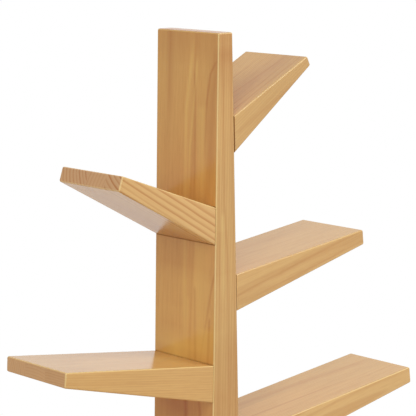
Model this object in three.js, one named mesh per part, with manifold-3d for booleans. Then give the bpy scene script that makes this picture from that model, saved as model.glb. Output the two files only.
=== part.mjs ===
// A tree shaped bookcase in solid pine. A trunk that widens towards the floor stands on a base
// board, and wedge shaped shelves branch off it to the right and left in turn.
// Millimetres, +Z up, and the front faces -Y. The origin lies on the floor under the trunk.

import * as THREE from 'three';
import Module from 'manifold-3d';
import { mergeVertices } from 'three/addons/utils/BufferGeometryUtils.js';

const wasm = await Module();
wasm.setup();

// Trunk. The shelves are as deep as it is, and lie flush with its front and back.
const trunkHeight = 1210;
const trunkDepth = 150;
const trunkTopWidth = 32.9;
const trunkFootWidth = 86.5;

// Each shelf, from the top down. Its drop is the place of its upper root corner, as a share of
// the trunk's height from the top. Root is the height of the end that meets the trunk, reach the
// level distance from the trunk to the tip, and tip the thickness there. The slope of its top
// face and the outward lean of its tip are in degrees.
const rightShelf1DropShare = 0.1169;
const rightShelf1Root = 62;
const rightShelf1Reach = 179.8;
const rightShelf1Tip = 18.4;
const rightShelf1SlopeAngle = 26.5;
const rightShelf1LeanAngle = 27.3;

const leftShelf1DropShare = 0.2408;
const leftShelf1Root = 63.4;
const leftShelf1Reach = 207.9;
const leftShelf1Tip = 25.7;
const leftShelf1SlopeAngle = 20.4;
const leftShelf1LeanAngle = 18.4;

const rightShelf2DropShare = 0.3414;
const rightShelf2Root = 63.7;
const rightShelf2Reach = 327.1;
const rightShelf2Tip = 27.5;
const rightShelf2SlopeAngle = 5.93;
const rightShelf2LeanAngle = 6.3;

const leftShelf2DropShare = 0.4654;
const leftShelf2Root = 64.8;
const leftShelf2Reach = 325.4;
const leftShelf2Tip = 25.4;
const leftShelf2SlopeAngle = 8.8;
const leftShelf2LeanAngle = 3.2;

const rightShelf3DropShare = 0.5812;
const rightShelf3Root = 63.7;
const rightShelf3Reach = 461.6;
const rightShelf3Tip = 30.9;
const rightShelf3SlopeAngle = 4.77;
const rightShelf3LeanAngle = 7.35;

const leftShelf3DropShare = 0.6983;
const leftShelf3Root = 64;
const leftShelf3SlopeAngle = 4;

const rightShelf4DropShare = 0.814;
const rightShelf4Root = 64;
const rightShelf4SlopeAngle = 3;

// The lowest shelf of each side reaches the same distance from the middle, with the same tip.
const crownHalfWidth = 500;
const lowestTip = 32;
const lowestLeanAngle = 6;

// Base board and the felt pads under it.
const baseWidth = 600;
const baseDepth = 280;
const baseThickness = 36;
const baseCornerRadius = 12;
const baseEasing = 3;
const padDiameter = 30;
const padHeight = 4;
const padInset = 14;

// Eased edges of trunk and shelves. A corner's radius is a little more than the easing, so that
// the eased faces still have a corner to run round.
const easing = 3;
const cornerRadius = 3.4;

// Gap at a joint or round a fitting, and how far a cutter runs past what it cuts.
const jointGap = 0.3;
const cutOverrun = 10;

// Dowels in a shelf's root, half their length in the trunk.
const dowelDiameter = 8;
const dowelLength = 32;
const dowelChamfer = 1;

// Connecting bolt in the trunk's side, and the cam lock in the shelf's back edge that draws it in.
const boltThreadDiameter = 6;
const boltThreadLength = 11;
const boltShankDiameter = 7;
const boltNeckDiameter = 4;
const boltHeadDiameter = 7;
const boltHeadLength = 3;
const camDistance = 34;
const camSetback = 9.5;
const camDiameter = 15;
const camCrossLength = 8;
const camCrossWidth = 1.6;
const camCrossDepth = 2;
const coverPlugDepth = 0.8;
const coverLip = 1.6;
const coverThickness = 1.4;
const coverEasing = 0.5;

// Screws and dowels that hold the trunk on the base board.
const screwDiameter = 7;
const screwTrunkLength = 48;
const screwPoint = 4;
const screwHeadDiameter = 11;
const screwHeadHeight = 4;
const screwSocketWidth = 4.6;
const screwSocketDepth = 3;
const screwRecess = 8;
const baseDowelDiameter = 10;
const baseDowelLength = 44;

// Places as shares: heights are shares of a shelf's root from its lower corner, and depths are
// shares of the trunk's half depth from its middle, positive to the back.
const frontDowelHeightShare = 0.36;
const middleDowelHeightShare = 0.36;
const frontDowelDepthShare = -0.66;
const middleDowelDepthShare = 0.14;
const boltHeightShare = 0.5;
const screwSideShare = 0.5;
const screwDepthShare = 0.62;
const baseDowelDepthShare = 0.28;

// Facets of the eased edges and of the round pieces.
const easingSteps = 3;
const roundSides = 12;
const discSides = 20;
const socketSides = 6;

const pine = new THREE.MeshStandardMaterial({ color: 0xd2a36c, roughness: 0.42, metalness: 0 });
const palePine = new THREE.MeshStandardMaterial({ color: 0xdcb586, roughness: 0.4, metalness: 0 });
const beech = new THREE.MeshStandardMaterial({ color: 0xcfa67a, roughness: 0.75, metalness: 0 });
const steel = new THREE.MeshStandardMaterial({ color: 0xb8bab8, roughness: 0.35, metalness: 1 });
const zinc = new THREE.MeshStandardMaterial({ color: 0x9c9ea0, roughness: 0.45, metalness: 1 });
const plastic = new THREE.MeshStandardMaterial({ color: 0xcfa878, roughness: 0.5, metalness: 0 });
const felt = new THREE.MeshStandardMaterial({ color: 0x6f655a, roughness: 0.95, metalness: 0 });

const right = 1;
const left = -1;

const baseTop = padHeight + baseThickness;
const trunkTop = baseTop + trunkHeight;
const taper = (trunkFootWidth - trunkTopWidth) / 2 / trunkHeight;
const sideTilt = Math.atan(taper);
const backFace = trunkDepth / 2;
const camBoreRadius = camDiameter / 2 + jointGap;

// Half the trunk's width at a distance below its top.
function halfWidthAt(drop) {
  return trunkTopWidth / 2 + drop * taper;
}

const rightShelf4Drop = trunkHeight * rightShelf4DropShare;
const leftShelf3Drop = trunkHeight * leftShelf3DropShare;

const shelves = [
  {
    name: 'right_shelf_1',
    side: right,
    drop: trunkHeight * rightShelf1DropShare,
    root: rightShelf1Root,
    reach: rightShelf1Reach,
    tip: rightShelf1Tip,
    slopeAngle: rightShelf1SlopeAngle,
    leanAngle: rightShelf1LeanAngle,
  },
  {
    name: 'left_shelf_1',
    side: left,
    drop: trunkHeight * leftShelf1DropShare,
    root: leftShelf1Root,
    reach: leftShelf1Reach,
    tip: leftShelf1Tip,
    slopeAngle: leftShelf1SlopeAngle,
    leanAngle: leftShelf1LeanAngle,
  },
  {
    name: 'right_shelf_2',
    side: right,
    drop: trunkHeight * rightShelf2DropShare,
    root: rightShelf2Root,
    reach: rightShelf2Reach,
    tip: rightShelf2Tip,
    slopeAngle: rightShelf2SlopeAngle,
    leanAngle: rightShelf2LeanAngle,
  },
  {
    name: 'left_shelf_2',
    side: left,
    drop: trunkHeight * leftShelf2DropShare,
    root: leftShelf2Root,
    reach: leftShelf2Reach,
    tip: leftShelf2Tip,
    slopeAngle: leftShelf2SlopeAngle,
    leanAngle: leftShelf2LeanAngle,
  },
  {
    name: 'right_shelf_3',
    side: right,
    drop: trunkHeight * rightShelf3DropShare,
    root: rightShelf3Root,
    reach: rightShelf3Reach,
    tip: rightShelf3Tip,
    slopeAngle: rightShelf3SlopeAngle,
    leanAngle: rightShelf3LeanAngle,
  },
  {
    name: 'left_shelf_3',
    side: left,
    drop: leftShelf3Drop,
    root: leftShelf3Root,
    reach: crownHalfWidth - halfWidthAt(leftShelf3Drop),
    tip: lowestTip,
    slopeAngle: leftShelf3SlopeAngle,
    leanAngle: lowestLeanAngle,
  },
  {
    name: 'right_shelf_4',
    side: right,
    drop: rightShelf4Drop,
    root: rightShelf4Root,
    reach: crownHalfWidth - halfWidthAt(rightShelf4Drop),
    tip: lowestTip,
    slopeAngle: rightShelf4SlopeAngle,
    leanAngle: lowestLeanAngle,
  },
];

// A closed geometry, moved by a matrix, as a solid that can be joined and cut.
function toSolid(geometry, matrix = new THREE.Matrix4()) {
  const bare = geometry.clone();
  bare.deleteAttribute('normal');
  bare.deleteAttribute('uv');
  bare.applyMatrix4(matrix);
  const merged = mergeVertices(bare);
  return new wasm.Manifold(new wasm.Mesh({
    numProp: 3,
    vertProperties: merged.attributes.position.array,
    triVerts: new Uint32Array(merged.index.array),
  }));
}

// A solid as a flat shaded geometry.
function toGeometry(solid) {
  const { vertProperties, triVerts, numProp } = solid.getMesh();
  const shared = new THREE.BufferGeometry();
  shared.setAttribute('position', new THREE.BufferAttribute(vertProperties, numProp));
  shared.setIndex(new THREE.BufferAttribute(triVerts, 1));
  const geometry = shared.toNonIndexed();
  geometry.computeVertexNormals();
  return geometry;
}

function cut(solid, cutters) {
  return cutters.reduce((rest, cutter) => rest.subtract(cutter), solid);
}

function named(name, geometry, material) {
  const mesh = new THREE.Mesh(geometry, material);
  mesh.name = name;
  return mesh;
}

// A closed outline through the points, with each corner rounded by an arc.
function roundedOutline(points, radius) {
  const shape = new THREE.Shape();
  points.forEach((corner, i) => {
    const before = points[(i + points.length - 1) % points.length];
    const after = points[(i + 1) % points.length];
    const toBefore = before.clone().sub(corner).normalize();
    const toAfter = after.clone().sub(corner).normalize();
    const halfAngle = Math.acos(toBefore.dot(toAfter)) / 2;
    const centre = toBefore.clone().add(toAfter);
    centre.setLength(radius / Math.sin(halfAngle)).add(corner);
    const start = toBefore.clone().multiplyScalar(radius / Math.tan(halfAngle)).add(corner);
    const end = toAfter.clone().multiplyScalar(radius / Math.tan(halfAngle)).add(corner);
    const startAngle = start.sub(centre).angle();
    const endAngle = end.sub(centre).angle();
    const clockwise = toBefore.cross(toAfter) > 0;
    shape.absarc(centre.x, centre.y, radius, startAngle, endAngle, clockwise);
  });
  return shape;
}

// A board with the outline in XY, centred on Z, and the edges of both faces eased.
function easedBoard(outline, thickness, edge) {
  const geometry = new THREE.ExtrudeGeometry(outline, {
    depth: thickness - 2 * edge,
    bevelThickness: edge,
    bevelSize: edge,
    bevelOffset: -edge,
    bevelSegments: easingSteps,
    curveSegments: easingSteps,
  });
  return geometry.translate(0, 0, edge - thickness / 2);
}

// A cylinder along X whose middle lies at a point.
function cylinderAlongX(radius, length, sides, x, y, z) {
  return new THREE.CylinderGeometry(radius, radius, length, sides)
    .rotateZ(-Math.PI / 2)
    .translate(x, y, z);
}

// The frame of a shelf's root: its origin is the root's middle on the trunk's side, x points
// away from the trunk square to that side, and z runs up along it. A left-hand shelf is turned
// by half a turn, so that its back lies towards the frame's -Y.
function rootFrame(shelf) {
  const middleDrop = shelf.drop + shelf.root / 2;
  const turn = new THREE.Group();
  turn.rotation.z = shelf.side === right ? 0 : Math.PI;
  const seat = new THREE.Group();
  seat.position.set(halfWidthAt(middleDrop), 0, trunkTop - middleDrop);
  seat.rotation.y = -sideTilt;
  turn.add(seat);
  turn.updateMatrixWorld(true);
  return { turn, seat };
}

function dowelPlaces(shelf) {
  return [
    {
      name: 'dowel_front',
      y: shelf.side * backFace * frontDowelDepthShare,
      z: shelf.root * (frontDowelHeightShare - 1 / 2),
    },
    {
      name: 'dowel_middle',
      y: shelf.side * backFace * middleDowelDepthShare,
      z: shelf.root * (middleDowelHeightShare - 1 / 2),
    },
  ];
}

function boltPlace(shelf) {
  return {
    y: shelf.side * (backFace - camSetback),
    z: shelf.root * (boltHeightShare - 1 / 2),
  };
}

// The holes that a shelf's dowels and bolt need, in the frame of its root.
function dowelHoles(shelf) {
  const radius = dowelDiameter / 2 + jointGap;
  const length = dowelLength + 2 * jointGap;
  return dowelPlaces(shelf).map(({ y, z }) => cylinderAlongX(radius, length, roundSides, 0, y, z));
}

function threadHole(shelf) {
  const { y, z } = boltPlace(shelf);
  const length = 2 * (boltThreadLength + jointGap);
  return cylinderAlongX(boltThreadDiameter / 2 + jointGap, length, roundSides, 0, y, z);
}

function shankHole(shelf) {
  const { y, z } = boltPlace(shelf);
  const length = camDistance + cutOverrun;
  const middle = camDistance - length / 2;
  return cylinderAlongX(boltShankDiameter / 2 + jointGap, length, roundSides, middle, y, z);
}

function camHole(shelf) {
  const { z } = boltPlace(shelf);
  const depth = camSetback + boltHeadDiameter / 2 + 2 * jointGap;
  const length = depth + cutOverrun;
  const middle = backFace - depth + length / 2;
  return new THREE.CylinderGeometry(camBoreRadius, camBoreRadius, length, discSides)
    .translate(camDistance, shelf.side * middle, z);
}

// The trunk: a tapered board on end, cut square at the foot, with the fittings' holes.
function makeTrunk() {
  const lowest = trunkHeight + cutOverrun;
  const outline = roundedOutline([
    new THREE.Vector2(-trunkTopWidth / 2, trunkTop),
    new THREE.Vector2(-halfWidthAt(lowest), trunkTop - lowest),
    new THREE.Vector2(halfWidthAt(lowest), trunkTop - lowest),
    new THREE.Vector2(trunkTopWidth / 2, trunkTop),
  ], cornerRadius);
  const blank = easedBoard(outline, trunkDepth, easing).rotateX(Math.PI / 2);
  const below = new THREE.BoxGeometry(2 * trunkFootWidth, 2 * trunkDepth, 2 * cutOverrun)
    .translate(0, 0, baseTop - cutOverrun);
  const holes = shelves.flatMap((shelf) => {
    const { seat } = rootFrame(shelf);
    return [...dowelHoles(shelf), threadHole(shelf)].map((hole) => toSolid(hole, seat.matrixWorld));
  });
  const footHoles = [...screwHoles(), ...baseDowelHoles()].map((hole) => toSolid(hole));
  return toGeometry(cut(toSolid(blank), [toSolid(below), ...holes, ...footHoles]));
}

// A shelf in the frame of its root. The blank runs into the trunk, and its root is cut parallel to
// the trunk's side with the upright edges eased, which leaves a fine groove along the joint.
function makeShelf(shelf) {
  const { seat } = rootFrame(shelf);
  const slope = THREE.MathUtils.degToRad(shelf.slopeAngle);
  const lean = THREE.MathUtils.degToRad(shelf.leanAngle);
  const upperRoot = new THREE.Vector2(halfWidthAt(shelf.drop), trunkTop - shelf.drop);
  const lowerDrop = shelf.drop + shelf.root;
  const lowerRoot = new THREE.Vector2(halfWidthAt(lowerDrop), trunkTop - lowerDrop);
  const upperTip = new THREE.Vector2(shelf.reach, shelf.reach * Math.tan(slope)).add(upperRoot);
  const lowerTip = new THREE.Vector2(shelf.tip * Math.sin(lean), -shelf.tip * Math.cos(lean))
    .add(upperTip);
  const inwards = (root, tip) => root.clone().add(root.clone().sub(tip).setLength(cutOverrun));
  const outline = roundedOutline([
    inwards(upperRoot, upperTip),
    inwards(lowerRoot, lowerTip),
    lowerTip,
    upperTip,
  ], cornerRadius);
  const blank = easedBoard(outline, trunkDepth, easing).rotateX(Math.PI / 2);
  const intoRootFrame = new THREE.Matrix4().copy(seat.matrix).invert();
  const pastTip = 2 * shelf.reach;
  const plan = roundedOutline([
    new THREE.Vector2(jointGap, -backFace),
    new THREE.Vector2(pastTip, -backFace),
    new THREE.Vector2(pastTip, backFace),
    new THREE.Vector2(jointGap, backFace),
  ], easing);
  const outOfTrunk = new THREE.ExtrudeGeometry(plan, {
    depth: 2 * pastTip,
    bevelEnabled: false,
    curveSegments: easingSteps,
  }).translate(0, 0, -pastTip);
  const holes = [...dowelHoles(shelf), shankHole(shelf), camHole(shelf)];
  const board = toSolid(blank, intoRootFrame).intersect(toSolid(outOfTrunk));
  return toGeometry(cut(board, holes.map((hole) => toSolid(hole))));
}

// A dowel along Y with chamfered ends.
function makeDowel(diameter, length) {
  const radius = diameter / 2;
  const profile = [
    new THREE.Vector2(0, -length / 2),
    new THREE.Vector2(radius - dowelChamfer, -length / 2),
    new THREE.Vector2(radius, dowelChamfer - length / 2),
    new THREE.Vector2(radius, length / 2 - dowelChamfer),
    new THREE.Vector2(radius - dowelChamfer, length / 2),
    new THREE.Vector2(0, length / 2),
  ];
  return new THREE.LatheGeometry(profile, roundSides);
}

// The connecting bolt along Y, with the trunk's side at zero: thread, shank, neck and head.
function makeConnectingBolt() {
  const thread = boltThreadDiameter / 2;
  const shank = boltShankDiameter / 2;
  const neck = boltNeckDiameter / 2;
  const head = boltHeadDiameter / 2;
  const headStart = camDistance - boltHeadLength / 2;
  const headEnd = camDistance + boltHeadLength / 2;
  const neckStart = camDistance - camDiameter / 2 - jointGap;
  const profile = [
    new THREE.Vector2(0, -boltThreadLength),
    new THREE.Vector2(thread, -boltThreadLength),
    new THREE.Vector2(thread, jointGap),
    new THREE.Vector2(shank, jointGap),
    new THREE.Vector2(shank, neckStart),
    new THREE.Vector2(neck, neckStart),
    new THREE.Vector2(neck, headStart),
    new THREE.Vector2(head, headStart),
    new THREE.Vector2(head, headEnd),
    new THREE.Vector2(0, headEnd),
  ];
  return new THREE.LatheGeometry(profile, roundSides);
}

// The cam lock, its axis on Y and its slotted face towards +Y, with the bolt's axis at zero. Its
// mouth takes the bolt's neck from -X, and the hollow behind it holds the bolt's head.
function makeCamLock() {
  const inner = -boltHeadDiameter / 2 - jointGap;
  const outer = camSetback - coverPlugDepth - jointGap;
  const body = new THREE.CylinderGeometry(
    camDiameter / 2, camDiameter / 2, outer - inner, discSides,
  ).translate(0, (outer + inner) / 2, 0);
  const hollowTop = boltHeadDiameter / 2 + jointGap;
  const hollowLength = boltHeadLength + 2 * jointGap;
  const hollowDepth = hollowTop - inner + cutOverrun;
  const hollow = new THREE.BoxGeometry(hollowLength, hollowDepth, 2 * hollowTop)
    .translate(0, hollowTop - hollowDepth / 2, 0);
  const mouthTop = boltNeckDiameter / 2 + jointGap;
  const mouthDepth = mouthTop - inner + cutOverrun;
  const mouth = new THREE.BoxGeometry(camDiameter, mouthDepth, 2 * mouthTop)
    .translate(-camDiameter / 2, mouthTop - mouthDepth / 2, 0);
  const slotDepth = camCrossDepth + cutOverrun;
  const slotMiddle = outer - camCrossDepth + slotDepth / 2;
  const slot = new THREE.BoxGeometry(camCrossLength, slotDepth, camCrossWidth)
    .translate(0, slotMiddle, 0);
  const crossSlot = new THREE.BoxGeometry(camCrossWidth, slotDepth, camCrossLength)
    .translate(0, slotMiddle, 0);
  return toGeometry(cut(toSolid(body), [hollow, mouth, slot, crossSlot].map((c) => toSolid(c))));
}

// The cover over a cam lock, with the shelf's back face at zero and its plug towards -Y.
function makeCamCover() {
  const plug = camBoreRadius - jointGap;
  const rim = camBoreRadius + coverLip;
  const profile = [
    new THREE.Vector2(0, -coverPlugDepth),
    new THREE.Vector2(plug, -coverPlugDepth),
    new THREE.Vector2(plug, 0),
    new THREE.Vector2(rim, 0),
    new THREE.Vector2(rim, coverThickness - coverEasing),
    new THREE.Vector2(rim - coverEasing, coverThickness),
    new THREE.Vector2(0, coverThickness),
  ];
  return new THREE.LatheGeometry(profile, discSides);
}

// A shelf with its own dowels, bolt, cam lock and cover, fixed to the trunk's side.
function shelfGroup(shelf) {
  const { turn, seat } = rootFrame(shelf);
  const isLeft = shelf.side === left;
  seat.add(named(shelf.name, makeShelf(shelf), palePine));
  for (const { name, y, z } of dowelPlaces(shelf)) {
    const dowel = named(`${shelf.name}_${name}`, makeDowel(dowelDiameter, dowelLength), beech);
    dowel.position.set(0, y, z);
    dowel.rotation.z = -Math.PI / 2;
    seat.add(dowel);
  }
  const { y, z } = boltPlace(shelf);
  const bolt = named(`${shelf.name}_connecting_bolt`, makeConnectingBolt(), steel);
  bolt.position.set(0, y, z);
  bolt.rotation.z = -Math.PI / 2;
  const cam = named(`${shelf.name}_cam_lock`, makeCamLock(), zinc);
  cam.position.set(camDistance, y, z);
  cam.rotation.x = isLeft ? Math.PI : 0;
  const cover = named(`${shelf.name}_cam_cover`, makeCamCover(), plastic);
  cover.position.set(camDistance, shelf.side * backFace, z);
  cover.rotation.x = isLeft ? Math.PI : 0;
  seat.add(bolt, cam, cover);
  return turn;
}

function screwPlaces() {
  const x = screwSideShare * trunkFootWidth / 2;
  const y = screwDepthShare * backFace;
  return [[-x, -y], [x, -y], [-x, y], [x, y]];
}

function baseDowelPlaces() {
  const y = baseDowelDepthShare * backFace;
  return [[0, -y], [0, y]];
}

// The screws' holes run through the base board into the trunk, and the heads have recesses.
function screwHoles() {
  const seatHeight = padHeight + screwRecess + screwHeadHeight;
  const top = baseTop + screwTrunkLength + jointGap;
  const length = top - padHeight + cutOverrun;
  const radius = screwDiameter / 2 + jointGap;
  const recessRadius = screwHeadDiameter / 2 + jointGap;
  const recessTop = seatHeight + jointGap;
  const recessLength = recessTop - padHeight + cutOverrun;
  return screwPlaces().flatMap(([x, y]) => [
    new THREE.CylinderGeometry(radius, radius, length, roundSides)
      .rotateX(Math.PI / 2)
      .translate(x, y, top - length / 2),
    new THREE.CylinderGeometry(recessRadius, recessRadius, recessLength, roundSides)
      .rotateX(Math.PI / 2)
      .translate(x, y, recessTop - recessLength / 2),
  ]);
}

function baseDowelHoles() {
  const radius = baseDowelDiameter / 2 + jointGap;
  const length = baseDowelLength + 2 * jointGap;
  return baseDowelPlaces().map(([x, y]) => new THREE.CylinderGeometry(
    radius, radius, length, roundSides,
  ).rotateX(Math.PI / 2).translate(x, y, baseTop));
}

function makeBaseBoard() {
  const outline = roundedOutline([
    new THREE.Vector2(-baseWidth / 2, -baseDepth / 2),
    new THREE.Vector2(baseWidth / 2, -baseDepth / 2),
    new THREE.Vector2(baseWidth / 2, baseDepth / 2),
    new THREE.Vector2(-baseWidth / 2, baseDepth / 2),
  ], baseCornerRadius);
  const board = easedBoard(outline, baseThickness, baseEasing)
    .translate(0, 0, padHeight + baseThickness / 2);
  const holes = [...screwHoles(), ...baseDowelHoles()].map((hole) => toSolid(hole));
  return toGeometry(cut(toSolid(board), holes));
}

// A screw along Y from the underside of its head: head with a six-sided socket, shank and point.
function makeBaseScrew() {
  const head = screwHeadDiameter / 2;
  const shank = screwDiameter / 2;
  const length = baseThickness - screwRecess + screwTrunkLength;
  const profile = [
    new THREE.Vector2(0, 0),
    new THREE.Vector2(head, 0),
    new THREE.Vector2(head, screwHeadHeight),
    new THREE.Vector2(shank, screwHeadHeight),
    new THREE.Vector2(shank, length - screwPoint),
    new THREE.Vector2(0, length),
  ];
  const socketLength = screwSocketDepth + cutOverrun;
  const socket = new THREE.CylinderGeometry(
    screwSocketWidth / 2, screwSocketWidth / 2, socketLength, socketSides,
  ).translate(0, screwSocketDepth - socketLength / 2, 0);
  const blank = new THREE.LatheGeometry(profile, roundSides);
  return toGeometry(cut(toSolid(blank), [toSolid(socket)]));
}

// The base board with the screws and dowels that hold the trunk, and a felt pad near each corner.
function baseGroup() {
  const group = new THREE.Group();
  group.add(named('base_board', makeBaseBoard(), pine));
  screwPlaces().forEach(([x, y], i) => {
    const screw = named(`base_screw_${i + 1}`, makeBaseScrew(), steel);
    screw.position.set(x, y, padHeight + screwRecess);
    screw.rotation.x = Math.PI / 2;
    group.add(screw);
  });
  baseDowelPlaces().forEach(([x, y], i) => {
    const dowel = named(
      `base_dowel_${i + 1}`, makeDowel(baseDowelDiameter, baseDowelLength), beech,
    );
    dowel.position.set(x, y, baseTop);
    dowel.rotation.x = Math.PI / 2;
    group.add(dowel);
  });
  const padX = baseWidth / 2 - padInset - padDiameter / 2;
  const padY = baseDepth / 2 - padInset - padDiameter / 2;
  [[-padX, -padY], [padX, -padY], [-padX, padY], [padX, padY]].forEach(([x, y], i) => {
    const radius = padDiameter / 2;
    const disc = new THREE.CylinderGeometry(radius, radius, padHeight, discSides);
    const pad = named(`foot_pad_${i + 1}`, disc, felt);
    pad.position.set(x, y, padHeight / 2);
    pad.rotation.x = Math.PI / 2;
    group.add(pad);
  });
  return group;
}

const bookcase = new THREE.Group();
bookcase.add(baseGroup());
bookcase.add(named('trunk', makeTrunk(), pine));
for (const shelf of shelves) {
  bookcase.add(shelfGroup(shelf));
}

export default bookcase;
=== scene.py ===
"""The finished look of a tree shaped bookcase: lacquered pine, its fittings, a plain studio."""

import math

import bpy
from mathutils import Matrix, Vector


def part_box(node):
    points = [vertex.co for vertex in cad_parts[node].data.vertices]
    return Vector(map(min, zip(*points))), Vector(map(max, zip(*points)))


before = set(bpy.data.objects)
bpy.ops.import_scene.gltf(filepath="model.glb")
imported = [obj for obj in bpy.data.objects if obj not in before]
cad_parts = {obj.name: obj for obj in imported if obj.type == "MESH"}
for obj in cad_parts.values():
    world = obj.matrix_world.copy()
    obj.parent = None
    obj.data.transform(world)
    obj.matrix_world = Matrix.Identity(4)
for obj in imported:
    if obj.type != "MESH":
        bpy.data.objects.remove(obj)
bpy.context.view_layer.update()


# Base board
# The flat board that everything stands on. Solid pine, five staves glued edge to edge, with its
# corners rounded and its edges eased, under the same clear semi-gloss lacquer as the shelves.
mm = 0.001


class Value:
    """A number that changes over a surface. A sum written with it adds the nodes that work it out."""

    def __init__(self, nodes, socket):
        self.nodes = nodes
        self.socket = socket

    def maths(self, operation, first, second=0.0):
        return self.nodes.node("ShaderNodeMath", {"operation": operation}, {0: first, 1: second})[0]

    def __add__(self, other):
        return self.maths("ADD", self, other)

    def __radd__(self, other):
        return self.maths("ADD", other, self)

    def __sub__(self, other):
        return self.maths("SUBTRACT", self, other)

    def __rsub__(self, other):
        return self.maths("SUBTRACT", other, self)

    def __mul__(self, other):
        return self.maths("MULTIPLY", self, other)

    def __rmul__(self, other):
        return self.maths("MULTIPLY", other, self)

    def __truediv__(self, other):
        return self.maths("DIVIDE", self, other)

    def __rtruediv__(self, other):
        return self.maths("DIVIDE", other, self)

    def __gt__(self, other):
        return self.maths("GREATER_THAN", self, other)

    def __abs__(self):
        return self.maths("ABSOLUTE", self)

    def root(self):
        return self.maths("SQRT", self)

    def whole(self):
        return self.maths("FLOOR", self)

    def part(self):
        return self.maths("FRACT", self)

    def at_least(self, low):
        return self.maths("MAXIMUM", self, low)

    def kept_between(self, low, high):
        return self.maths("MINIMUM", self.at_least(low), high)


class Nodes:
    """The nodes of a finish, a shape or a room, added one after another."""

    def __init__(self, tree):
        self.tree = tree
        self.tree.nodes.clear()

    def node(self, kind, settings=None, inputs=None):
        """Adds a node: its settings first, then the values or links of its sockets."""
        made = self.tree.nodes.new(kind)
        for name, setting in (settings or {}).items():
            if name == "stops":
                self.set_stops(made.color_ramp, setting)
            else:
                setattr(made, name, setting)
        for name, given in (inputs or {}).items():
            if isinstance(given, Value):
                self.tree.links.new(given.socket, made.inputs[name])
            else:
                made.inputs[name].default_value = given
        outputs = {}
        for place, socket in enumerate(made.outputs):
            outputs[place] = Value(self, socket)
            outputs.setdefault(socket.name, outputs[place])
        return outputs

    def set_stops(self, ramp, stops):
        for spare in list(ramp.elements)[1:]:
            ramp.elements.remove(spare)
        ramp.elements[0].position = stops[0][0]
        ramp.elements[0].color = stops[0][1]
        for position, shade in stops[1:]:
            ramp.elements.new(position).color = shade


class Finish(Nodes):
    """A surface finish, which knows where each spot of the surface lies and which way it faces."""

    def __init__(self, name):
        self.material = bpy.data.materials.new(name)
        self.material.use_nodes = True
        super().__init__(self.material.node_tree)
        place = self.node("ShaderNodeTexCoord")
        self.spot = place["Object"]
        self.facing = place["Normal"]

    def curve(self, value, stops):
        """A number that follows stops, a list of (value, result) pairs, all from 0 to 1."""
        greys = [(position, (level, level, level, 1.0)) for position, level in stops]
        return self.node("ShaderNodeValToRGB", {"stops": greys}, {"Fac": value})["Color"]

    def mix(self, share, first, second, blend="MIX"):
        """Two colours mixed: a share of 0 is the first alone, and of 1 the second."""
        settings = {"data_type": "RGBA", "blend_type": blend}
        return self.node("ShaderNodeMix", settings, {"Factor": share, 6: first, 7: second})[2]

    def along(self, direction, start=(0, 0, 0)):
        """How far a spot lies from start, measured along a direction."""
        apart = {"operation": "SUBTRACT"}
        from_start = self.node("ShaderNodeVectorMath", apart, {0: self.spot, 1: start})["Vector"]
        reach = {"operation": "DOT_PRODUCT"}
        return self.node("ShaderNodeVectorMath", reach, {0: from_start, 1: direction})["Value"]

    def towards(self, direction):
        """How squarely the surface faces a direction, from -1 to 1."""
        reach = {"operation": "DOT_PRODUCT"}
        return self.node("ShaderNodeVectorMath", reach, {0: self.facing, 1: direction})["Value"]

    def noise(self, x, y, z, detail=2.0, roughness=0.5):
        """Soft noise round 0.5, whose grains are about 1 across in x, in y and in z."""
        where = self.node("ShaderNodeCombineXYZ", None, {"X": x, "Y": y, "Z": z})["Vector"]
        sizes = {"Vector": where, "Scale": 1.0, "Detail": detail, "Roughness": roughness}
        return self.node("ShaderNodeTexNoise", {"noise_dimensions": "3D"}, sizes)[0]

    def grain(self, width, depth, height, detail=2.0, roughness=0.5):
        """Soft noise whose grains have that size along the three axes of the room."""
        x = self.along((1, 0, 0)) / width
        y = self.along((0, 1, 0)) / depth
        z = self.along((0, 0, 1)) / height
        return self.noise(x, y, z, detail, roughness)

    def chance(self, number):
        """One random number from 0 to 1 for each whole number."""
        return self.node("ShaderNodeTexWhiteNoise", {"noise_dimensions": "1D"}, {"W": number})["Value"]

    def bump(self, height, depth):
        """Which way the surface faces once a height stands out of it, by depth for each 1."""
        sizes = {"Strength": 1.0, "Distance": depth, "Height": height}
        return self.node("ShaderNodeBump", None, sizes)["Normal"]

    def surface(self, inputs):
        """Closes the finish with its surface, whose sockets the inputs name."""
        shader = self.node("ShaderNodeBsdfPrincipled", None, inputs)["BSDF"]
        self.node("ShaderNodeOutputMaterial", None, {"Surface": shader})
        return self.material


def colour(red, green, blue):
    """A colour as a paint chart gives it, from 0 to 255, as the surface needs it."""
    parts = []
    for level in (red, green, blue):
        share = level / 255
        parts.append(share / 12.92 if share <= 0.04045 else ((share + 0.055) / 1.055) ** 2.4)
    return (*parts, 1.0)


class Stave:
    """One glued strip of a board: the share of the width where it ends, and its cut from the log.

    heart is where the log's middle lies, in mm across and through the board from the board's
    corner, and ring the thickness of a year's growth in mm. depth is how dark the summer rings
    are, tone how light the whole strip is, taper how fast the log thins, and warmth how much blue
    the wood swallows.
    """

    def __init__(self, ends_at, heart, ring, depth, tone=0.0, taper=0.012, warmth=0.0):
        self.ends_at = ends_at
        self.heart_across = heart[0] * mm
        self.heart_through = heart[1] * mm
        self.ring = ring * mm
        self.depth = depth
        self.tone = tone
        self.taper = taper
        self.warmth = warmth


spring_wood = colour(230, 182, 117)
summer_wood = colour(190, 121, 60)
end_wood = colour(213, 162, 114)
streak_wood = colour(206, 146, 84)
# Painted highlight: the pale colour laid on rounded edges that face the lamps.
painted_highlight_wood = colour(252, 220, 156)
# Painted shade: the dark colour laid into the joints, where shadow falls.
joint_shadow_colour = colour(130, 72, 28)
ring_sway = 8 * mm
ring_ripple = 1.2 * mm
mark_sway = 0.3
weakest_ring = 0.5
end_ring_strength = 0.8
streak_strength = 0.45
end_wood_strength = 0.75
patch_strength = 0.18
green_lift = 1.03
green_warmth = 0.33
lacquer_share = 0.9
lacquer_roughness = 0.2
relief_depth = 0.04 * mm
stave_shift = 3.7


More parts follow.
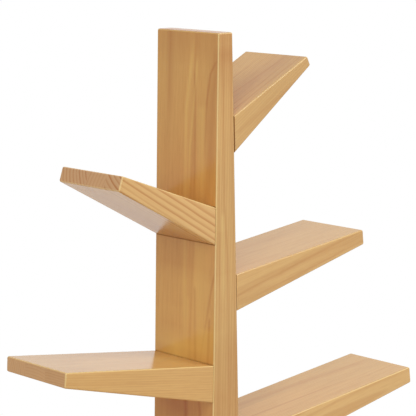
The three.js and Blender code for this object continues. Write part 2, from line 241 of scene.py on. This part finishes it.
def pine(name, corner, grain, across, width, staves, seed, marks=(), highlight_share=0.6, gap_shade=None):
    """Lacquered pine. Its rings are those of a log that lies along the grain, one log a stave.

    corner is where the board is measured from. marks are streaks laid over its rings, some of them
    painted shade or painted light. Its rounded edges get a painted highlight of paler wood, as strong
    as the highlight share, and gap_shade is a function that gives the painted shade in its joints.
    """
    finish = Finish(name)
    through = Vector(grain).cross(Vector(across))
    lengthways = finish.along(grain, corner)
    sideways = finish.along(across, corner)
    inwards = finish.along(through, corner)

    def by_stave(numbers):
        """A number that changes from stave to stave, across the board."""
        chosen = numbers[0]
        for stave, before, after in zip(staves, numbers, numbers[1:]):
            chosen = (sideways > stave.ends_at * width) * (after - before) + chosen
        return chosen

    shift = by_stave(range(len(staves))) * stave_shift + seed
    heart_across = by_stave([stave.heart_across for stave in staves])
    heart_through = by_stave([stave.heart_through for stave in staves])
    ring = by_stave([stave.ring for stave in staves])
    depth = by_stave([stave.depth for stave in staves])
    tone = by_stave([stave.tone for stave in staves])
    taper = by_stave([stave.taper for stave in staves])
    warmth = by_stave([stave.warmth for stave in staves])

    def figure(length, breadth, detail=2.0, roughness=0.5):
        """Soft noise, drawn out along the grain."""
        x = lengthways / length + shift
        y = sideways / breadth + shift
        return finish.noise(x, y, inwards / breadth, detail, roughness)

    # Rings round the heart, pushed out of true by a slow sway and a fine ripple. A year is pale in
    # spring and dark in summer, and some years are weaker than others.
    sway = (figure(length=500 * mm, breadth=100 * mm) - 0.5) * ring_sway
    ripple = (figure(length=71 * mm, breadth=16.7 * mm) - 0.5) * ring_ripple
    beside = sideways - heart_across + sway
    above = inwards - heart_through + sway
    radius = (beside * beside + above * above).root() + lengthways * taper + ripple
    rings = radius / ring + shift
    season = finish.curve(rings.part(), [(0.0, 0.0), (0.45, 0.1), (0.74, 0.85), (0.86, 1.0), (1.0, 0.0)])
    strength = finish.chance(rings.whole()) * (1.0 - weakest_ring) + weakest_ring

    fibre = figure(length=34 * mm, breadth=2 * mm, detail=3.0, roughness=0.65)
    streak = figure(length=500 * mm, breadth=7 * mm, detail=4.0, roughness=0.65)
    patch = figure(length=200 * mm, breadth=110 * mm, detail=1.0)

    # Where the wood is cut across its grain, and where its edges are rounded. The rounded edges that
    # don't face down get a painted highlight: paler wood where the lamps would catch them.
    end_on = abs(finish.towards(grain))
    front_on = abs(finish.towards((0, 1, 0)))
    end_grain = finish.curve(end_on, [(0.6, 0.0), (0.9, 1.0)])
    lit_from_above = (finish.towards((0, 0, 1)) * 3.0 + 1.5).kept_between(0.0, 1.0)
    long_edge = finish.curve(front_on, [(0.2, 0.0), (0.4, 1.0), (0.75, 1.0), (0.9, 0.0)])
    end_edge = finish.curve(end_on, [(0.35, 0.0), (0.5, 1.0), (0.75, 1.0), (0.88, 0.0)])
    painted_highlight = (long_edge + end_edge).kept_between(0.0, 1.0) * (1.0 - end_edge * 0.4) * lit_from_above

    def mark_share(mark):
        """How strongly a mark colours a spot: most along its middle, and fading out at its ends."""
        start = mark.path[0][0]
        reach = mark.path[-1][0] - start
        run = (lengthways - start) / reach
        bends = [((at - start) / reach, 0.5 + place / width / 2) for at, place in mark.path]
        middle = (finish.curve(run, bends) - 0.5) * (width * 2)
        off = abs((inwards if mark.through else sideways) + sway * mark_sway + ripple - middle)
        faded = finish.curve(run, [(0.0, 0.0), (0.06, 1.0), (0.7, 1.0), (1.0, 0.0)])
        near = (1.0 - off / mark.breadth).kept_between(0.0, 1.0)
        if mark.one_sided:
            near = near * (0.5 - inwards / mark.corner_fade).kept_between(0.0, 1.0)
        return near * faded * mark.share

    # The colour, from the bare wood up to its marks, its painted edge highlight, its tone and the
    # painted shade in its joints.
    summer_share = season * strength * depth * (1.0 + end_grain * end_ring_strength)
    summer_share = summer_share.kept_between(0.0, 1.0)
    streak_share = ((streak - 0.42) * 2.4 + (fibre - 0.5) * 2.2).kept_between(0.0, 1.0)
    wood = finish.mix(streak_share * streak_strength, spring_wood, streak_wood)
    wood = finish.mix(end_grain * end_wood_strength, wood, end_wood)
    wood = finish.mix(summer_share, wood, summer_wood)
    for mark in marks:
        wood = finish.mix(mark_share(mark), wood, mark.wood)
    # Painted highlight: paler wood on the rounded edges that face the lamps.
    wood = finish.mix(painted_highlight * highlight_share, wood, painted_highlight_wood)
    level = 1.0 + tone + (patch - 0.5) * patch_strength
    green_level = level * (green_lift - warmth * green_warmth)
    levels = {"Red": level, "Green": green_level, "Blue": level * (1.0 - warmth)}
    tint = finish.node("ShaderNodeCombineColor", None, levels)["Color"]
    wood = finish.mix(1.0, wood, tint, "MULTIPLY")
    # Painted shade in the joints, with less lacquer there so that the shade shows no gloss.
    gap = 0.0
    if gap_shade:
        gap = gap_shade(finish)
        wood = finish.mix(gap, wood, joint_shadow_colour)

    relief = (fibre * 0.35 + season * 0.4 + streak * 0.25) * (1.0 - end_grain)
    return finish.surface({
        "Base Color": wood,
        "Roughness": 0.42 + (fibre - 0.5) * 0.2 + end_grain * 0.15 + summer_share * 0.05,
        "Specular IOR Level": 0.0,
        "Coat Weight": (1.0 - gap) * lacquer_share,
        "Coat IOR": 1.5,
        "Coat Roughness": lacquer_roughness,
        "Normal": finish.bump(relief, relief_depth),
    })


sharpest_curve = math.radians(40)
weld_distance = 0.001 * mm
flat_face_weight = 100


def smooth_over():
    """A modifier's nodes, which join a board's facets and shade its rounded edges as one curve."""
    group = bpy.data.node_groups.new("rounded_edges", "GeometryNodeTree")
    group.interface.new_socket("Board", in_out="INPUT", socket_type="NodeSocketGeometry")
    group.interface.new_socket("Board", in_out="OUTPUT", socket_type="NodeSocketGeometry")
    shape = Nodes(group)
    board = shape.node("NodeGroupInput")[0]
    faceted = {"Geometry": board, "Name": "custom_normal"}
    plain = shape.node("GeometryNodeRemoveAttribute", None, faceted)[0]
    touching = {"Geometry": plain, "Distance": weld_distance}
    joined = shape.node("GeometryNodeMergeByDistance", None, touching)[0]
    rounded = shape.node("GeometryNodeSetShadeSmooth", {"domain": "FACE"}, {"Geometry": joined})[0]
    angle = shape.node("GeometryNodeInputMeshEdgeAngle")["Unsigned Angle"]
    steep = {"A": angle, "B": sharpest_curve}
    sharp = shape.node("FunctionNodeCompare", {"operation": "GREATER_THAN"}, steep)["Result"]
    crisp = {"Geometry": rounded, "Selection": sharp, "Shade Smooth": False}
    finished = shape.node("GeometryNodeSetShadeSmooth", {"domain": "EDGE"}, crisp)[0]
    shape.node("NodeGroupOutput", None, {0: finished})
    return group


rounded_edges = smooth_over()


def dress(name, material):
    """Gives a piece its finish, and lets its rounded edges catch the light as curves."""
    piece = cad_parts[name]
    piece.data.materials.clear()
    piece.data.materials.append(material)
    smoother = piece.modifiers.new("rounded_edges", "NODES")
    smoother.node_group = rounded_edges
    evener = piece.modifiers.new("even_faces", "WEIGHTED_NORMAL")
    evener.keep_sharp = True
    evener.weight = flat_face_weight


base_low, base_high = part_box("base_board")
base_pine = pine(
    "base_pine_finish",
    corner=base_low,
    grain=(1, 0, 0),
    across=(0, 1, 0),
    width=base_high.y - base_low.y,
    staves=[
        Stave(0.22, (20, -60), 5, 0.4),
        Stave(0.41, (95, 110), 6, 0.35, tone=0.03),
        Stave(0.6, (120, -45), 5.5, 0.45, tone=-0.02),
        Stave(0.79, (215, 90), 6, 0.35, tone=0.02),
        Stave(1.0, (250, -80), 5, 0.4, tone=-0.01),
    ],
    seed=11.0,
)
dress("base_board", base_pine)


# Foot pads
# Four round discs of pressed wool felt under the base board's corners, stuck on, so that the
# board doesn't scratch the floor.
def felt():
    finish = Finish("felt_finish")
    hair = finish.grain(0.7 * mm, 0.7 * mm, 0.7 * mm, detail=4.0, roughness=0.7)
    clump = finish.grain(4 * mm, 4 * mm, 4 * mm)
    return finish.surface({
        "Base Color": finish.mix(hair * 0.6 + clump * 0.4, colour(96, 90, 84), colour(150, 142, 132)),
        "Roughness": 0.85 + hair * 0.1,
        "Sheen Weight": 0.4,
        "Normal": finish.bump(hair + clump, 0.5 * mm),
    })


felt_finish = felt()
for corner_number in (1, 2, 3, 4):
    dress(f"foot_pad_{corner_number}", felt_finish)


# Trunk
# The upright that carries the shelves, narrow at the top and wider at the foot. Thick pine staves
# glued face to face, with a skin of paler sapwood on the front, sawn to the taper and eased.
trunk_low, trunk_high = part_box("trunk")
trunk_top_width = 32.9 * mm
trunk_taper = (trunk_high.x - trunk_top_width / 2) / (trunk_high.z - trunk_low.z)


class Mark:
    """A streak that runs with the grain, darker or paler than the wood beside it. Some marks are
    instead painted shade or painted light near the shelves.

    path lists how far along the board, and how far in from its first edge, the streak passes, and
    breadth is its half width, all in mm. A streak that goes through the board, from front to back,
    is measured from its corner instead, and one that is one_sided stays on the side that lies
    before the corner.
    """

    corner_fade = 20 * mm

    def __init__(self, path, breadth, share, wood, through=False, one_sided=False):
        self.path = [(at * mm, place * mm) for at, place in path]
        self.breadth = breadth * mm
        self.share = share
        self.wood = wood
        self.through = through
        self.one_sided = one_sided


# Colours of the darker and paler streaks, also used for painted shade and painted light.
dark_grain_and_shade = colour(186, 110, 50)
pale_grain_and_light = colour(248, 212, 138)
trunk_staves = [
    Stave(0.02, (-8, 200), 6, 0.35, tone=-0.06, taper=-0.03, warmth=0.07),
    Stave(0.46, (-8, 200), 7, 0.3, tone=-0.06, taper=-0.03, warmth=0.36),
    Stave(1.0, (190, 90), 5, 0.1, tone=-0.07, taper=0.01, warmth=0.36),
]
trunk_marks = [
    Mark([(-60, 114), (170, 118)], 11, 0.35, dark_grain_and_shade),
    Mark([(0, 57), (134, 76), (700, 75)], 6, 0.45, pale_grain_and_light),
    Mark([(40, 50), (70, 52), (200, 66), (300, 70)], 4, 0.45, pale_grain_and_light),
    Mark([(60, 58), (98, 54), (300, 53)], 4, 0.35, dark_grain_and_shade),
    Mark([(330, 53), (540, 61), (620, 66)], 5, 0.35, dark_grain_and_shade),
    Mark([(44, 0), (50, 7), (69, 18), (115, 26), (220, 31)], 4, 0.5, dark_grain_and_shade),
    Mark([(20, 0), (69, 6), (115, 12), (290, 15)], 14, 0.35, dark_grain_and_shade),
    Mark([(400, 2), (440, 11), (500, 23), (552, 33), (640, 40)], 4, 0.45, dark_grain_and_shade),
    # Painted light: a broad paler band on the sides, lifting the shade between the first and second left
    # shelves.
    Mark([(280, 42), (700, 42)], 48, 0.22, pale_grain_and_light),
    Mark([(120, 38), (300, 36)], 16, 0.35, pale_grain_and_light),
    Mark([(350, 36), (640, 38)], 26, 0.35, pale_grain_and_light),
    Mark([(-100, 75), (60, 75)], 300, 0.17, dark_grain_and_shade),
    # Painted shadow: the trunk darkens below the second left shelf.
    Mark([(500, 75), (1300, 75)], 300, 0.27, dark_grain_and_shade),
    # Dark strands on the left side below the second left shelf: streaks, and painted shadow there.
    Mark([(570, 74), (661, 68), (900, 60)], 8, 0.85, dark_grain_and_shade, one_sided=True),
    Mark([(570, 44), (654, 33), (900, 28)], 6, 0.6, dark_grain_and_shade, one_sided=True),
    # Painted shadow: a broad dark band on the left side round and under the second left shelf.
    Mark([(540, 95), (700, 95)], 90, 0.65, dark_grain_and_shade, one_sided=True),
    # Painted shadow: a broad dark band on the left side round and under the first left shelf's root.
    Mark([(330, 75), (430, 75)], 200, 0.2, dark_grain_and_shade, one_sided=True),
    # Painted light: the next three paler marks lift the left side just above the second left shelf, as
    # light off its top would.
    Mark([(400, 90), (600, 90)], 90, 0.1, pale_grain_and_light, one_sided=True),
    Mark([(470, 90), (600, 90)], 120, 0.12, pale_grain_and_light, one_sided=True),
    Mark([(626, 95), (508, 95)], 92, 0.9, pale_grain_and_light, one_sided=True),
    Mark([(430, 50), (540, 47), (610, 45)], 5, 0.3, dark_grain_and_shade, one_sided=True),
    Mark([(480, 13), (600, 18)], 4, 0.4, dark_grain_and_shade, one_sided=True),
    # Painted light: paler wood near the front of the left side beside the second left shelf's root.
    Mark([(500, 25), (620, 28)], 36, 0.4, pale_grain_and_light, one_sided=True),
    Mark([(450, 68), (610, 70)], 8, 0.35, pale_grain_and_light, one_sided=True),
    Mark([(-40, 0), (60, 0)], 30, 0.2, dark_grain_and_shade, through=True),
    Mark([(300, -8), (470, -6)], 8, 0.35, pale_grain_and_light, through=True),
    Mark([(-60, -8), (45, -7), (280, -5), (384, 4), (655, 6), (1300, 9)], 4, 0.27, dark_grain_and_shade, through=True),
    Mark([(180, -17), (485, -15), (650, -19), (1300, -30)], 3, 0.27, dark_grain_and_shade, through=True),
    Mark([(-60, 10), (130, 12), (280, 16), (660, 23), (1300, 32)], 4, 0.22, dark_grain_and_shade, through=True),
]
root_heights = {
    "right_shelf_1": 62 * mm,
    "left_shelf_1": 63.4 * mm,
    "right_shelf_2": 63.7 * mm,
    "left_shelf_2": 64.8 * mm,
    "right_shelf_3": 63.7 * mm,
    "left_shelf_3": 64 * mm,
    "right_shelf_4": 64 * mm,
}
# The painted shadow round each shelf's root: how dark it is, a lighter one at left_shelf_2, and how it
# fades.
joint_shadow = 0.9
tight_joint = "left_shelf_2"
tight_joint_shadow = 0.45
joint_fade = 2.5 * mm
side_sharpness = 10.0


def trunk_gap_shade(finish):
    """Painted shade: the dark line of shadow on the trunk's sides round each shelf's root."""
    height = finish.along((0, 0, 1))
    facing_right = finish.towards((1, 0, 0))
    shade = 0.0
    for name, root_height in root_heights.items():
        low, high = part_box(name)
        side = 1.0 if name.startswith("right") else -1.0
        beyond = abs(height - (low.z + root_height / 2)) - root_height / 2
        near = (1.0 - beyond / joint_fade).kept_between(0.0, 1.0)
        on_side = facing_right * (side_sharpness * side) - (side_sharpness - 1.0)
        shadow_share = tight_joint_shadow if name == tight_joint else joint_shadow
        shade = near * on_side.kept_between(0.0, 1.0) * shadow_share + shade
    return shade


trunk_pine = pine(
    "trunk_pine_finish",
    corner=(0, trunk_low.y, trunk_high.z),
    grain=(0, 0, -1),
    across=(0, 1, 0),
    width=trunk_high.y - trunk_low.y,
    staves=trunk_staves,
    seed=4.0,
    marks=trunk_marks,
    highlight_share=0.9,
    gap_shade=trunk_gap_shade,
)
dress("trunk", trunk_pine)


# Screws and dowels in the trunk's foot
# Four zinc plated screws come up through the base board into the trunk's end grain, and two
# beech dowels beside them keep the trunk from turning.
def zinc():
    finish = Finish("zinc_finish")
    cloud = finish.grain(3.3 * mm, 3.3 * mm, 3.3 * mm, detail=3.0)
    scratch = finish.grain(0.4 * mm, 0.4 * mm, 3.3 * mm)
    return finish.surface({
        "Base Color": finish.mix(cloud, colour(196, 200, 204), colour(160, 166, 172)),
        "Metallic": 1.0,
        "Roughness": 0.28 + scratch * 0.2,
        "Normal": finish.bump(scratch, 0.02 * mm),
    })


def beech():
    finish = Finish("beech_finish")
    fleck = finish.grain(2.5 * mm, 0.8 * mm, 0.8 * mm)
    return finish.surface({
        "Base Color": finish.mix(fleck, colour(222, 190, 154), colour(186, 148, 112)),
        "Roughness": 0.6 + fleck * 0.2,
        "Normal": finish.bump(fleck, 0.1 * mm),
    })


zinc_finish = zinc()
beech_finish = beech()
for screw_number in (1, 2, 3, 4):
    dress(f"base_screw_{screw_number}", zinc_finish)
for dowel_number in (1, 2):
    dress(f"base_dowel_{dowel_number}", beech_finish)


# Shelves
# The branches: wedges of glued pine, thick where they meet the trunk and thin at the tip. The
# grain runs roughly along the sawn underside. Each has its own boards, so its own rings.
pink_wood = colour(192, 134, 98)
root_fade = 0.8 * mm


def dress_shelf(name, grain_angle, gap, highlight_share, seed, staves, marks=()):
    """Finishes one shelf: its grain climbs away from the trunk at that angle, in degrees.

    gap is how far the painted shade of the joint reaches along the eased edges of the shelf's
    root, and the highlight share how strongly a painted highlight pales its edges.
    """
    low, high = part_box(name)
    side = 1 if name.startswith("right") else -1
    angle = math.radians(grain_angle)
    root_corner = (low.x, low.y, low.z) if side > 0 else (high.x, high.y, low.z)

    def root_gap_shade(finish):
        """Painted shade in the joint, on the eased edges of the shelf's own root."""
        out_of_trunk = Vector((side, 0, trunk_taper)).normalized()
        trunk_side = (side * trunk_top_width / 2, 0, trunk_high.z)
        clear = finish.along(out_of_trunk, trunk_side) - gap
        return (joint_shadow - clear / root_fade).kept_between(0.0, joint_shadow)

    shelf_pine = pine(
        name + "_finish",
        corner=root_corner,
        grain=(side * math.cos(angle), 0, math.sin(angle)),
        across=(0, side, 0),
        width=high.y - low.y,
        staves=staves,
        seed=seed,
        marks=marks,
        highlight_share=highlight_share,
        gap_shade=root_gap_shade,
    )
    dress(name, shelf_pine)


dress_shelf(
    "right_shelf_1",
    grain_angle=33,
    gap=1.1 * mm,
    highlight_share=0.45,
    seed=21.0,
    staves=[
        Stave(0.36, (-60, -60), 4, 0.22, tone=-0.06),
        Stave(0.68, (190, -20), 4.5, 0.45, tone=-0.04),
        Stave(1.0, (-60, 40), 4.5, 0.45, tone=-0.03),
    ],
    marks=[
        Mark([(-20, 55), (90, 50), (230, 44), (300, 40)], 52, 0.42, pink_wood),
        Mark([(-20, 76), (86, 66), (163, 54), (280, 38)], 4, 0.33, dark_grain_and_shade),
        Mark([(-20, 20), (120, 17), (280, 12)], 3, 0.35, dark_grain_and_shade),
        Mark([(0, 36), (140, 30), (260, 27)], 2.5, 0.3, dark_grain_and_shade),
        Mark([(20, 24), (220, 6)], 6, 0.2, dark_grain_and_shade, through=True),
        Mark([(-20, 112), (120, 104), (280, 98)], 3, 0.25, dark_grain_and_shade),
    ],
)
dress_shelf(
    "left_shelf_1",
    grain_angle=30.5,
    gap=0.0,
    highlight_share=0.75,
    seed=2.0,
    staves=[
        Stave(0.45, (165, 60), 7.5, 0.62, tone=0.02),
        Stave(0.75, (215, -30), 7.5, 0.32, tone=0.01),
        Stave(1.0, (183, 72), 8.6, 0.76, tone=0.03, warmth=-0.03),
    ],
    marks=[
        # Painted shade: darker wood near the root, where the trunk shades the shelf.
        Mark([(-60, 75), (62, 75)], 80, 0.4, dark_grain_and_shade),
        Mark([(-60, 65), (330, 65)], 90, 0.3, pink_wood),
    ],
)
dress_shelf(
    "right_shelf_2",
    grain_angle=10.4,
    gap=0.3 * mm,
    highlight_share=0.35,
    seed=31.3,
    staves=[
        Stave(0.33, (-110, 28), 4.5, 0.3, taper=0.0),
        Stave(0.66, (190, 10), 4.5, 0.4, tone=-0.02),
        Stave(1.0, (-30, 20), 4.5, 0.4, tone=-0.02),
    ],
    marks=[
        Mark([(-20, 25), (60, 29), (230, 34), (330, 36)], 4, 0.3, dark_grain_and_shade, through=True),
        Mark([(50, 11), (330, 16)], 3, 0.2, dark_grain_and_shade, through=True),
        Mark([(0, 112), (330, 108)], 22, 0.15, dark_grain_and_shade),
    ],
)
dress_shelf(
    "left_shelf_2",
    grain_angle=10.5,
    gap=0.0,
    highlight_share=0.9,
    seed=41.0,
    staves=[
        Stave(0.33, (-80, 10), 5, 0.25, tone=-0.01, warmth=0.08),
        Stave(0.66, (60, -150), 5, 0.2, tone=-0.01, warmth=0.08),
        Stave(1.0, (120, -190), 4, 0.26, tone=-0.02, warmth=0.12),
    ],
    marks=[
        # Painted light: paler wood near the root, where the top mirrors the lit trunk side.
        Mark([(-60, 70), (130, 70)], 80, 0.4, pale_grain_and_light),
    ],
)
dress_shelf(
    "right_shelf_3",
    grain_angle=8,
    gap=0.3 * mm,
    highlight_share=0.6,
    seed=51.0,
    staves=[
        Stave(0.33, (-80, 15), 4.5, 0.45, tone=0.05, taper=0.004, warmth=-0.05),
        Stave(0.66, (200, 0), 4.5, 0.4, tone=0.06, warmth=-0.05),
        Stave(1.0, (-60, 40), 4.5, 0.4, tone=0.05, warmth=-0.05),
    ],
    marks=[
        Mark([(60, 121), (235, 113), (400, 100), (520, 88)], 11, 0.3, dark_grain_and_shade),
        Mark([(20, 61), (117, 58), (370, 50)], 3.5, 0.4, dark_grain_and_shade),
    ],
)
dress_shelf(
    "left_shelf_3",
    grain_angle=7.5,
    gap=0.0,
    highlight_share=0.7,
    seed=61.0,
    staves=[
        Stave(0.33, (-95, -20), 5, 0.3, tone=0.02),
        Stave(0.66, (190, 30), 6, 0.25, tone=0.03),
        Stave(1.0, (-20, 60), 5, 0.3, tone=0.01),
    ],
)
dress_shelf(
    "right_shelf_4",
    grain_angle=6.5,
    gap=0.3 * mm,
    highlight_share=0.6,
    seed=71.0,
    staves=[
        Stave(0.33, (-110, 35), 5, 0.3, tone=0.03),
        Stave(0.66, (170, -40), 6, 0.25, tone=0.01),
        Stave(1.0, (-10, 75), 5, 0.3, tone=0.02),
    ],
)


# Shelf fittings
# Two beech dowels and one steel bolt carry each shelf. The bolt is screwed into the trunk, a die
# cast zinc cam in the shelf's back edge draws it tight, and a plastic cap covers the cam.
def cap():
    finish = Finish("cap_finish")
    spark = finish.grain(0.45 * mm, 0.45 * mm, 0.45 * mm)
    return finish.surface({
        "Base Color": finish.mix(spark, colour(205, 168, 118), colour(190, 150, 102)),
        "Roughness": 0.4 + spark * 0.15,
        "Normal": finish.bump(spark, 0.05 * mm),
    })


cap_finish = cap()
for shelf in root_heights:
    dress(f"{shelf}_dowel_front", beech_finish)
    dress(f"{shelf}_dowel_middle", beech_finish)
    dress(f"{shelf}_connecting_bolt", zinc_finish)
    dress(f"{shelf}_cam_lock", zinc_finish)
    dress(f"{shelf}_cam_cover", cap_finish)


# Floor
# A plain pale studio floor. It keeps the bookcase's shadow, looks paler to the eye than the light
# on it makes it, and fades into the white of the room further out.
floor_radius = 3.2
floor_sides = 96
floor_fade_start = 0.25
floor_fade_end = 0.54
floor_glow = (0.3, 0.3, 0.3, 1.0)
no_glow = (0.0, 0.0, 0.0, 1.0)
fade_for_light = 0.7

floor_points = []
for step in range(floor_sides):
    turn = math.tau * step / floor_sides
    floor_points.append((floor_radius * math.cos(turn), floor_radius * math.sin(turn), 0))
floor_mesh = bpy.data.meshes.new("floor")
floor_mesh.from_pydata(floor_points, [], [list(range(floor_sides))])
floor = bpy.data.objects.new("floor", floor_mesh)
bpy.context.scene.collection.objects.link(floor)

floor_finish = Finish("floor_finish")
east = floor_finish.along((1, 0, 0))
north = floor_finish.along((0, 1, 0))
distance = (east * east + north * north).root()
eye = floor_finish.node("ShaderNodeLightPath")["Is Camera Ray"]
fade_stops = [(floor_fade_start, 0.0), (floor_fade_end, 1.0)]
floor_fade = floor_finish.curve(distance / floor_radius, fade_stops)
mottle = floor_finish.grain(33 * mm, 33 * mm, 33 * mm, detail=3.0)
floor_paint = {
    "Base Color": floor_finish.mix(mottle, colour(238, 238, 237), colour(232, 232, 231)),
    "Roughness": 0.7,
    "Emission Color": floor_finish.mix(eye, no_glow, floor_glow),
    "Emission Strength": 1.0,
}
painted = floor_finish.node("ShaderNodeBsdfPrincipled", None, floor_paint)["BSDF"]
gone = floor_finish.node("ShaderNodeBsdfTransparent")["BSDF"]
floor_parts = {0: floor_fade * (fade_for_light + eye * (1.0 - fade_for_light)), 1: painted, 2: gone}
fading = floor_finish.node("ShaderNodeMixShader", None, floor_parts)["Shader"]
floor_finish.node("ShaderNodeOutputMaterial", None, {"Surface": fading})
floor_mesh.materials.append(floor_finish.material)


# Room and lamps
# A white room that lights everything softly, a tall soft box beside the camera, and two high ones
# in front, to the left and to the right.
room_light = 0.49
white = (1.0, 1.0, 1.0, 1.0)
room = bpy.data.worlds.new("room")
bpy.context.scene.world = room
room.use_nodes = True
room_nodes = Nodes(room.node_tree)
rays = room_nodes.node("ShaderNodeLightPath")
seen = rays["Is Camera Ray"].at_least(rays["Is Glossy Ray"]).at_least(rays["Is Transmission Ray"])
lighting = room_nodes.node("ShaderNodeBackground", None, {"Color": white, "Strength": room_light})
backdrop = room_nodes.node("ShaderNodeBackground", None, {"Color": white, "Strength": 1.0})
room_parts = {0: seen, 1: lighting["Background"], 2: backdrop["Background"]}
surround = room_nodes.node("ShaderNodeMixShader", None, room_parts)["Shader"]
room_nodes.node("ShaderNodeOutputWorld", None, {"Surface": surround})


def soft_box(name, place, target, width, height, watts):
    """An area lamp that lights and glosses the bookcase, and isn't itself seen."""
    lamp = bpy.data.lights.new(name, "AREA")
    lamp.shape = "RECTANGLE"
    lamp.size = width
    lamp.size_y = height
    lamp.energy = watts
    lit = bpy.data.objects.new(name, lamp)
    lit.location = place
    aim = Vector(target) - Vector(place)
    lit.rotation_euler = aim.to_track_quat("-Z", "Y").to_euler()
    lit.visible_camera = False
    bpy.context.scene.collection.objects.link(lit)


soft_box("tall_box", place=(-1.9, -2.7, 1.3), target=(0, 0, 1.3), width=1.4, height=2.6, watts=12)
soft_box("left_box", place=(-2.6, -1.6, 3.0), target=(0, 0, 1.0), width=1.4, height=1.4, watts=23)
soft_box("right_box", place=(1.3, -1.6, 3.2), target=(0, 0, 1.0), width=1.6, height=1.6, watts=31)


# Camera
# The photograph's own place: left of the bookcase and a little above it, with a long lens, close
# enough to crop the foot.
camera_heading = 44.175
camera_dip = 10.073
camera_roll = -0.1646
camera_reach = 2.9757
camera_aim = Vector((-0.04244, -0.075, 0.96091))
camera_sensor_mm = 36.0
camera_lens_mm = 154.686
heading = math.radians(camera_heading)
dip = math.radians(camera_dip)
roll = math.radians(camera_roll)
level_share = math.cos(dip)
forward = Vector((math.sin(heading) * level_share, math.cos(heading) * level_share, -math.sin(dip)))
level_right = Vector((math.cos(heading), -math.sin(heading), 0))
level_up = level_right.cross(forward)
right = level_right * math.cos(roll) + level_up * math.sin(roll)
up = level_up * math.cos(roll) - level_right * math.sin(roll)
camera_data = bpy.data.cameras.new("camera")
camera_data.sensor_width = camera_sensor_mm
camera_data.lens = camera_lens_mm
camera = bpy.data.objects.new("camera", camera_data)
turned = Matrix((right, up, -forward)).transposed().to_4x4()
camera.matrix_world = Matrix.Translation(camera_aim - forward * camera_reach) @ turned
bpy.context.scene.collection.objects.link(camera)
bpy.context.scene.camera = camera
bpy.context.scene.view_settings.view_transform = "Standard"
